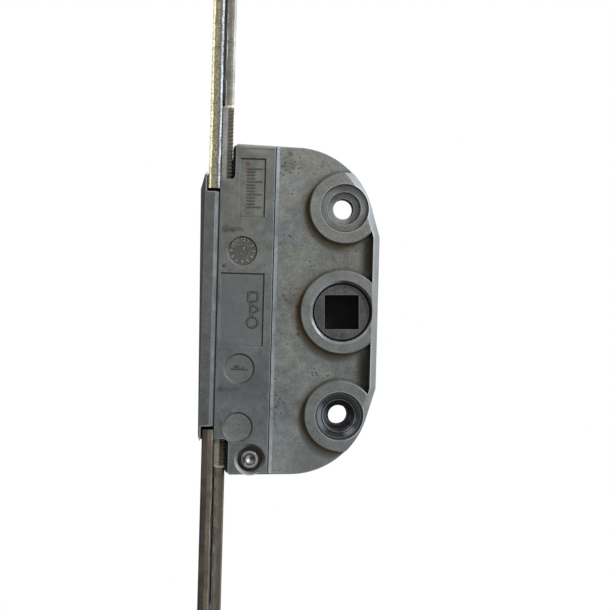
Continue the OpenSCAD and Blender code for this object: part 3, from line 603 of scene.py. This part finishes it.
# Dark mark zinc paints the thin marks dark all over, as the shade along their edges.
shaded_mark = metal("mark zinc, painted shade", (0.042, 0.04, 0.034), (0.037, 0.038, 0.038), metallic=0.4,
                   stain=(0.035, 0.035, 0.033), patches=0.4, pits=0.2, grain=0.4, cloud_scale=300,
                   side_shade=1.0, corner=0.0004, wear_and_highlight=(0.15, 0.155, 0.15), wear_and_lit_side=0.4)
floor_y = -6.1
dial_x, dial_z = -20.95, 12.1
number_ring = 2.28
number_y = floor_y - 0.02


def on_dial(angle, radius, y=floor_y):
    """A point in mm on the dial, by its angle from the top and its distance from the middle."""
    return (dial_x + radius * sin(angle), y, dial_z + radius * cos(angle))


ticks = [[on_dial(i * pi / 18, 1.35), on_dial(i * pi / 18, 1.6)] for i in range(36)]
rings = [[on_dial(i * pi / 24, 1.2) for i in range(48)],
         [on_dial(i * pi / 8, 0.3) for i in range(16)]]
rings = [ring + ring[:1] for ring in rings]
hand_turn = 0.5
pointer = [[on_dial(hand_turn, 0.35), on_dial(hand_turn, 1.05)],
           [on_dial(hand_turn + pi, 0.35), on_dial(hand_turn + pi, 0.8)]]
strokes("dial_ticks", ticks, 0.06, raised_zinc)
strokes("dial_rings", rings, 0.1, shaded_mark)
strokes("dial_pointer", pointer, 0.14, raised_zinc)

numbers = bmesh.new()
for hour in range(1, 13):
    letters = bpy.data.curves.new("number", "FONT")
    letters.body = str(hour)
    letters.size = 0.00105
    letters.align_x = "CENTER"
    letters.align_y = "CENTER"
    letters.extrude = 0.00008
    letters.bevel_depth = 0.00004
    letters.resolution_u = 4
    holder = bpy.data.objects.new("number", letters)
    bpy.context.scene.collection.objects.link(holder)
    flat = plain_mesh(holder)
    angle = hour * pi / 6
    outward = Vector((sin(angle), 0, cos(angle)))
    clockwise = Vector((cos(angle), 0, -sin(angle)))
    middle = Vector(on_dial(angle, number_ring, number_y)) / 1000
    turn = Matrix((clockwise, outward, (0, -1, 0))).transposed().to_4x4()
    flat.transform(Matrix.Translation(middle) @ turn)
    numbers.from_mesh(flat)
    bpy.data.meshes.remove(flat)
bmesh.ops.remove_doubles(numbers, verts=numbers.verts, dist=1e-7)
bmesh.ops.recalc_face_normals(numbers, faces=numbers.faces)
number_mesh = bpy.data.meshes.new("dial_numbers")
numbers.to_mesh(number_mesh)
numbers.free()
number_mesh.materials.append(raised_zinc)
dial_numbers = bpy.data.objects.new("dial_numbers", number_mesh)
bpy.context.scene.collection.objects.link(dial_numbers)
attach(dial_numbers, "casing")


# Scale: a plain row of long and short bars in the upper panel, cast in one with the front half.
# Every fourth bar is a long one, and all are painted dark as shade.
scale_top, bar_step = 29.1, 0.66
bar_left, short_end, long_end = -20.4, -18.7, -17.3
bars = [[(bar_left, floor_y, scale_top - bar_step * i),
         (short_end if i % 4 else long_end, floor_y, scale_top - bar_step * i)] for i in range(13)]
strokes("scale_bars", bars, 0.17, shaded_mark)


# Plain shapes: a square, a triangle and a circle in outline in the middle panel.
# They stand where a casting carries its marks, and they say nothing.
def outline(x, z, corners, radius, start):
    """The sides of a shape with so many corners about a middle, the first at an angle."""
    points = [(x + radius * sin(start + i * 2 * pi / corners), floor_y,
               z + radius * cos(start + i * 2 * pi / corners)) for i in range(corners)]
    return [[points[i - 1], points[i]] for i in range(corners)]


shapes = outline(-18.5, 2.7, 4, 1.35, pi / 4) + outline(-18.3, 0.15, 3, 1.3, pi / 2)
circle = [side[0] for side in outline(-18.5, -2.6, 28, 1.1, 0)]
strokes("plain_shapes", shapes + [circle + circle[:1]], 0.22, shaded_mark)


# Pointer bar: one long bar in the round mark below the panels, cast in one with the front half.
# A short stroke slants into its right end, and a second, shorter bar lies above it.
pointer_bars = [[(-22.6, floor_y, -12.3), (-19.2, floor_y, -12.3)],
                [(-20.1, floor_y, -11.8), (-19.5, floor_y, -12.3)],
                [(-22.0, floor_y, -11.75), (-21.0, floor_y, -11.75)]]
strokes("pointer_bar", pointer_bars, 0.2, shaded_mark)


# Cast ridges: rough lines that the die's inserts leave on the plateau, beside the rods. A thin
# seam along the top edge shows where the two halves of the die closed.
plateau_y = -6.5
ridges = []
for z, rough in ((16.5, 1.0), (-16.4, 0.5)):
    ridges.append([(-25.3, plateau_y, z + 0.25 * rough), (-24.4, plateau_y, z - 0.05),
                   (-23.3, plateau_y, z + 0.2 * rough), (-22.6, plateau_y, z - 0.1)])
    ridges.append([(-24.9, plateau_y, z - 0.35 * rough), (-23.2, plateau_y, z - 0.3 * rough),
                   (-20.8, plateau_y, z - 0.1)])
    ridges.append([(-22.3, plateau_y, z + 0.3), (-20.9, plateau_y, z + 0.3)])
strokes("cast_ridges", ridges, 0.1, shaded_mark)
top_seam = [(-21.6, plateau_y, 33.15), (-18, plateau_y, 33.25), (-14.9, plateau_y, 33.15)]
strokes("top_seam", [top_seam], 0.07, shaded_mark)


# Gap beads: a dark round bead along the edge of each notch in the back half and one beside each
# faceplate, which paints the gaps beside the rods dark as shade.
gap_shade_bead = metal("gap bead, painted shade", (0.04, 0.032, 0.019), metallic=0.1, patches=0.5, pits=0.1,
                   grain=0.5, cloud_scale=400, wear_and_lit_side=0.1)
notch_x, notch_y = -23.45, 5.3
notch_beads = [[(notch_x, notch_y, 27.0), (notch_x, notch_y, 31.6)],
               [(notch_x, notch_y, -34.1), (notch_x, notch_y, -27.0)]]
strokes("notch_shade_bead", notch_beads, 0.28, gap_shade_bead)
strip_x, strip_y = -25.62, 5.15
strip_beads = [[(strip_x, strip_y, 27.2), (strip_x, strip_y, 66.0)],
               [(strip_x, strip_y, -66.0), (strip_x, strip_y, -27.2)]]
strokes("strip_shade_bead", strip_beads, 0.2, gap_shade_bead)


# Back casting: the other zinc half, with the same skin. It lies against the timber, so it has
# kept less oil, and the blind bearing at the bottom of the socket is painted black as shade.
def back_part(middle, normal):
    """The finish of a face of the back half."""
    if hypot(middle.x, middle.z) < 6.8:
        return finishes.index("bearing" if normal.y < 0.5 else "boss")
    return casting_part(Vector((middle.x, -middle.y, middle.z)), normal)


back = merged_copy("back_housing", "back_casting", castings.values(), back_part)
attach(back, "casing")


# Rivet: a semi-tubular steel rivet that holds the two halves. Its front end is pressed over a
# punch, polished on the slope and darker in the dimple, which holds a painted dark reflection on
# its right and two painted highlights on its left.
rivet_shine = metal("polished rivet", (0.2, 0.205, 0.215), stain=(0.1, 0.09, 0.07), metallic=0.95,
                    patches=0.4, pits=0.2, grain=0.25, cloud_scale=500, bump=0.1, rougher=-0.16,
                    side_shade=0.3, corner_shade=0.7, wear_and_lit_side=0.3,
                    spots=[(-19.8, -31.2, 0.5, 1.0, 0, (0.035, 0.035, 0.04), 0.85)])
rivet_dimple = metal("rivet dimple", (0.21, 0.215, 0.225), stain=(0.02, 0.022, 0.026), metallic=1.0,
                     patches=0.9, pits=0.4, grain=0.3, cloud_scale=600, bump=0.3,
                     rougher=-0.24, side_shade=0.2, corner_shade=0.4,
                     # A painted dark reflection on the right of the dimple, and two painted
                     # highlights on its left.
                     spots=[(-17.75, -30.75, 0.3, 0.5, 0, (0.02, 0.021, 0.024), 0.85),
                            (-18.6, -31.1, 0.15, 0.4, 0, (0.6, 0.64, 0.72), 0.9),
                            (-18.5, -30.35, 0.05, 0.3, 0, (0.4, 0.36, 0.24), 0.8)])


def rivet_part(middle, normal):
    """The dimple in the rivet's end, or the rest of the rivet."""
    return 1 if hypot(middle.x - rivet_x, middle.z - rivet_z) < 1.15 else 0


rivet = merged_copy("housing_rivet", "casing_rivet", [rivet_shine, rivet_dimple], rivet_part, 40)
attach(rivet, "casing")


# Upper bush: a turned steel bush that the handle's screw passes through, dull grey at its
# front face, with its bore painted black as the shade of a deep hole.
grey_steel = metal("dull bush steel", (0.23, 0.245, 0.245), (0.2, 0.21, 0.21), metallic=0.7,
                   patches=0.4, pits=0.4, grain=0.35, cloud_scale=300, wear_and_highlight=(0.5, 0.52, 0.54))
bore_shade_black = metal("bore, painted shade black", (0.014, 0.015, 0.016), stain=(0.02, 0.015, 0.01), metallic=0.6,
                   patches=0.5, pits=0.3, grain=0.4, cloud_scale=500, wear_and_highlight=(0.1, 0.1, 0.1),
                   wear_and_lit_side=0.3)


def bush_part(middle, normal):
    """The bore of a bush is painted black as shade, and the rest is bare steel."""
    return 1 if hypot(middle.x, abs(middle.z) - screw_z) < 2.4 else 0


upper_bush = merged_copy("upper_screw_bush", "upper_bush", [grey_steel, bore_shade_black], bush_part)
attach(upper_bush, "casing")


def thread(end, z, y_from, y_to):
    """The screw's thread shows in a bush's bore as a fine spiral. Sizes are in mm, and a turn has
    so many points."""
    radius, pitch, points = 2.2, 0.8, 24
    turns = (y_to - y_from) / pitch
    line = [(radius * cos(i * 2 * pi / points), y_from + pitch * i / points,
             z + radius * sin(i * 2 * pi / points)) for i in range(int(turns * points))]
    return strokes(end + "_thread", [line], 0.12, bore_shade_black)


upper_thread = thread("upper", screw_z, 0.2, 6.4)


# Lower bush: the same bush with a flared front end, blued dark. It is painted lighter grey
# at the left edge, and in two smaller places on the right as painted highlights.
pale_patch_and_highlight = (0.2, 0.23, 0.26)
blue_steel = metal("dark bush steel", (0.03, 0.033, 0.037), stain=(0.02, 0.018, 0.016),
                   metallic=0.75, patches=0.5, pits=0.4, grain=0.4, cloud_scale=300,
                   wear_and_highlight=(0.2, 0.22, 0.25), wear_and_lit_side=0.9,
                   spots=[(-4.6, -22.3, 1.4, 2.4, 0, pale_patch_and_highlight, 0.85),
                          (2.2, -24.6, 0.5, 1.2, 0, pale_patch_and_highlight, 0.7),
                          (2.8, -22.2, 0.3, 0.9, 0, pale_patch_and_highlight, 0.6)])
lower_bush = merged_copy("lower_screw_bush", "lower_bush", [blue_steel, bore_shade_black], bush_part)
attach(lower_bush, "casing")
lower_thread = thread("lower", -screw_z, -1.5, 6.4)


# Drive pinion: a sintered steel nut with a square socket for the handle's spindle. Its face is
# grey-brown and stained, its teeth are oiled, and the socket is painted black inside as the shade
# of a deep hole.
tooth_steel = metal("oiled tooth steel", (0.05, 0.052, 0.055), metallic=0.8, patches=0.5, pits=0.5,
                    grain=0.4, cloud_scale=300, wear_and_highlight=(0.2, 0.21, 0.22))
hub_steel = metal("hub face", (0.08, 0.08, 0.079), (0.045, 0.047, 0.05), (0.045, 0.042, 0.038),
                  metallic=0.45, patches=0.6, pits=1.0, grain=0.6, cloud_scale=420, corner=0.0004,
                  bump=0.4, wear_and_highlight=(0.2, 0.2, 0.19), wear_and_lit_side=0.45,
                  spots=[(-4.9, 0.3, 0.9, 1.2, 0, (0.035, 0.035, 0.034), 0.6),
                         (4.9, 0.3, 0.9, 1.2, 0, (0.037, 0.037, 0.036), 0.5)])
socket_shade_black = metal("socket, painted shade black", (0.0025, 0.0025, 0.0018), stain=(0.004, 0.003, 0.002), metallic=0,
                     patches=0.4, pits=0, grain=0.4, wear_and_highlight=(0.02, 0.02, 0.02), wear_and_lit_side=0.2, side_shade=0,
                     rougher=0.25)


def pinion_part(middle, normal):
    """The pinion's face, its socket, or its teeth."""
    if abs(middle.x) < 4.7 and abs(middle.z) < 4.5 and abs(normal.y) < 0.7:
        return 2
    return 1 if middle.y < -4.4 and hypot(middle.x, middle.z) < 6 else 0


pinion = merged_copy("pinion", "drive_pinion", [tooth_steel, hub_steel, socket_shade_black], pinion_part)
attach(pinion, "drive_nut")


# Spindle spring: a hardened leaf in the socket's right wall that takes up the spindle's play.
# It is pressed into the pinion's bore, and it is painted as black as the socket, as shade.
nodes["spindle_spring"].data.materials.clear()
nodes["spindle_spring"].data.materials.append(socket_shade_black)


# Rack: a milled steel slide with teeth towards the pinion and fine serrations towards the
# rods, oiled all over.
rack = merged_copy("rack_slide", "rack", [tooth_steel])
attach(rack, "rods")


# Upper faceplate: a rolled steel strip with chamfered edges, zinc-plated and passivated yellow.
# Its outer edge is painted cream and its inner edge white as painted highlights, its middle is tan
# and speckled, and its inner wall is painted dark as shade.
def bands(tree, place, axis, stops):
    """A colour by bands along an axis. Each stop is where the band ends, in mm, and its colour,
    and the bands melt into each other over twice the edge. The first one is a mm wide."""
    place_xyz = add_node(tree, "ShaderNodeSeparateXYZ", {0: place})
    first, last = stops[0][0] - 1.0, stops[-1][0]
    edge, waviness = 0.05, 0.0004
    wobble = add_node(tree, "ShaderNodeTexNoise", {"Vector": place, "Scale": 420, "Detail": 2})
    shift = sums(tree, "MULTIPLY", sums(tree, "SUBTRACT", wobble.outputs["Fac"], 0.5), waviness)
    spread = add_node(tree, "ShaderNodeMapRange", {
        0: sums(tree, "ADD", place_xyz.outputs[axis], shift), 1: first / 1000, 2: last / 1000})
    strip = add_node(tree, "ShaderNodeValToRGB", {0: spread.outputs[0]})
    scale = strip.color_ramp
    marks = []
    start = first
    for end, tint in stops:
        marks += [(start + edge, tint), (end - edge, tint)]
        start = end
    scale.elements[0].position = (marks[0][0] - first) / (last - first)
    scale.elements[0].color = marks[0][1] + (1,)
    scale.elements[1].position = 1
    scale.elements[1].color = marks[-1][1] + (1,)
    for end, tint in marks[1:-1]:
        stop = scale.elements.new((end - first) / (last - first))
        stop.color = tint + (1,)
    return strip.outputs["Color"]


def paint_upper_strip(tree, place):
    """Bands from the outer edge in: a cream painted highlight, tan, grey, a white painted
    highlight, and the inner wall painted dark as shade.
    """
    return bands(tree, place, 0, [(-27.78, (1, 0.95, 0.64)), (-26.75, (0.22, 0.183, 0.112)),
                                  (-26.3, (0.12, 0.115, 0.095)), (-25.95, (0.6, 0.66, 0.72)),
                                  (-25.8, (0.01, 0.01, 0.008))])


yellow_strip = metal("yellow-passivated strip", (0.24, 0.205, 0.14), stain=(0.2, 0.185, 0.14),
                     metallic=0.35, patches=0.25, pits=0.7, grain=1.0, cloud_scale=500,
                     paint=paint_upper_strip, wear_and_highlight=(0.8, 0.76, 0.55), wear_and_lit_side=0.04, side_shade=0.1,
                     corner_shade=0.5)
upper_strip = merged_copy("upper_faceplate", "upper_strip", [yellow_strip])
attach(upper_strip, "casing")


# Upper rod: a flat steel rod with broken edges. The end that the slide grips has fine pressed
# serrations and stands a little proud; the step where the press stopped is painted bright as a
# highlight.
def paint_rod(rough_to, plain_from, ledge_z, ledge, rough_side, plain_side):
    """Bands for a rod: the serrated end and the plain length, which meet at a ledge painted bright
    as a highlight. The three heights are in metres."""
    def paint(tree, place):
        """The rod's tone at a place."""
        height = add_node(tree, "ShaderNodeSeparateXYZ", {0: place}).outputs[2]
        rough = bands(tree, place, 0, rough_side)
        plain = bands(tree, place, 0, plain_side)
        joined = blend(tree, ramp(tree, height, rough_to, plain_from), rough, plain)
        near = sums(tree, "ABSOLUTE", sums(tree, "SUBTRACT", height, ledge_z))
        return blend(tree, ramp(tree, near, 0.0003, 0.00012), joined, ledge + (1,))
    return paint


# On the plain length, a dark band at the outer edge is painted as the shade of the gap beside the
# faceplate, and the white band after it and the light band at the inner edge are painted
# highlights.
upper_rod_paint = paint_rod(
    rough_to=0.0418, plain_from=0.0419, ledge_z=0.04195, ledge=(0.72, 0.68, 0.5),
    rough_side=[(-24.65, (0.26, 0.265, 0.26)), (-23.3, (0.12, 0.105, 0.078))],
    plain_side=[(-25.42, (0.04, 0.04, 0.04)), (-25.15, (0.75, 0.78, 0.78)),
                (-24.8, (0.14, 0.14, 0.13)), (-24.3, (0.15, 0.14, 0.12)),
                (-23.85, (0.28, 0.24, 0.17)), (-23.3, (0.42, 0.46, 0.48))])
yellow_rod = metal("yellow-passivated rod", (0.24, 0.215, 0.17), stain=(0.17, 0.155, 0.125),
                   metallic=0.35, patches=0.4, pits=0.5, grain=0.5, cloud_scale=400,
                   paint=upper_rod_paint, wear_and_highlight=(0.4, 0.4, 0.37), wear_and_lit_side=0.15, side_shade=0, corner_shade=0.15)
upper_rod = merged_copy("upper_drive_rod", "upper_rod", [yellow_rod])
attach(upper_rod, "rods")


# Lower faceplate: the same strip as the upper one, but darker and browner, with its outer edge
# painted purple-black as shade, a thin light line on its inner edge as a painted highlight, and its
# inner wall painted dark as shade.
def paint_lower_strip(tree, place):
    """Bands from the outer edge in: purple-black painted as shade, brown, tan, a light line painted
    as a highlight, and the wall painted dark as shade.
    """
    return bands(tree, place, 0, [(-27.92, (0.004, 0.003, 0.006)), (-27.05, (0.026, 0.019, 0.014)),
                                  (-26.2, (0.098, 0.08, 0.052)), (-26.05, (0.26, 0.25, 0.2)),
                                  (-25.8, (0.01, 0.009, 0.007))])


brown_strip = metal("darker passivated strip", (0.06, 0.05, 0.04), stain=(0.06, 0.042, 0.03),
                    metallic=0.35, patches=0.5, pits=0.4, grain=0.5, cloud_scale=400,
                    paint=paint_lower_strip, wear_and_highlight=(0.22, 0.2, 0.16), wear_and_lit_side=0.04, side_shade=0.5,
                    corner_shade=0.6)
lower_strip = merged_copy("lower_faceplate", "lower_strip", [brown_strip])
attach(lower_strip, "casing")


# Lower rod: the same rod as the upper one, with its serrated end upwards. It is darker and
# browner, and its outer corner is painted bright as a highlight, against the shadow of the
# faceplate's edge.
lower_rod_paint = paint_rod(
    rough_to=-0.0326, plain_from=-0.0327, ledge_z=-0.03265, ledge=(0.5, 0.46, 0.33),
    rough_side=[(-24.65, (0.22, 0.215, 0.165)), (-23.3, (0.055, 0.037, 0.018))],
    plain_side=[(-25.25, (0.7, 0.65, 0.52)), (-24.6, (0.12, 0.11, 0.09)),
                (-23.95, (0.085, 0.07, 0.052)), (-23.7, (0.045, 0.033, 0.025)),
                (-23.3, (0.12, 0.105, 0.085))])
brown_rod = metal("darker passivated rod", (0.09, 0.08, 0.062), stain=(0.05, 0.038, 0.028),
                  metallic=0.35, patches=0.45, pits=0.5, grain=0.5, cloud_scale=400,
                  paint=lower_rod_paint, wear_and_highlight=(0.2, 0.19, 0.16), wear_and_lit_side=0.2, side_shade=0.0, corner_shade=0.1)
lower_rod = merged_copy("lower_drive_rod", "lower_rod", [brown_rod])
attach(lower_rod, "rods")


# Rod guides: moulded plastic clips that hold the rods against the faceplates, each with two
# zinc-plated rivets through its feet.
plastic = metal("black plastic", (0.018, 0.018, 0.018), stain=(0.014, 0.014, 0.014), metallic=0,
                patches=0.3, pits=0.1, grain=0.25, wear_and_highlight=(0.05, 0.05, 0.05), side_shade=0, wear_and_lit_side=0.4)
bright = metal("zinc-plated steel", (0.42, 0.43, 0.44), stain=(0.33, 0.32, 0.29), metallic=0.9,
               patches=0.4, pits=0.2, grain=0.15, cloud_scale=300, bump=0.1, rougher=-0.12,
               side_shade=0.2)
for end in ("upper", "lower"):
    clip = merged_copy(end + "_rod_guide", end + "_guide", [plastic])
    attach(clip, "casing")
    rivets = merged_copy(end + "_guide_rivets", end + "_clip_rivets", [bright])
    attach(rivets, "casing")


# Cams: a stud riveted into each rod, a hardened ring that runs in the faceplate's slot, and a
# zinc-plated roller that turns on the stud and locks behind the frame's keep.
for end in ("upper", "lower"):
    stud = merged_copy(end + "_cam_pin", end + "_cam_stud", [bright])
    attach(stud, "rods")
    ring = merged_copy(end + "_cam_bush", end + "_cam_ring", [tooth_steel])
    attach(ring, "rods")
    roller = merged_copy(end + "_cam_roller", end + "_roller", [bright])
    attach(roller, end + "_roller")
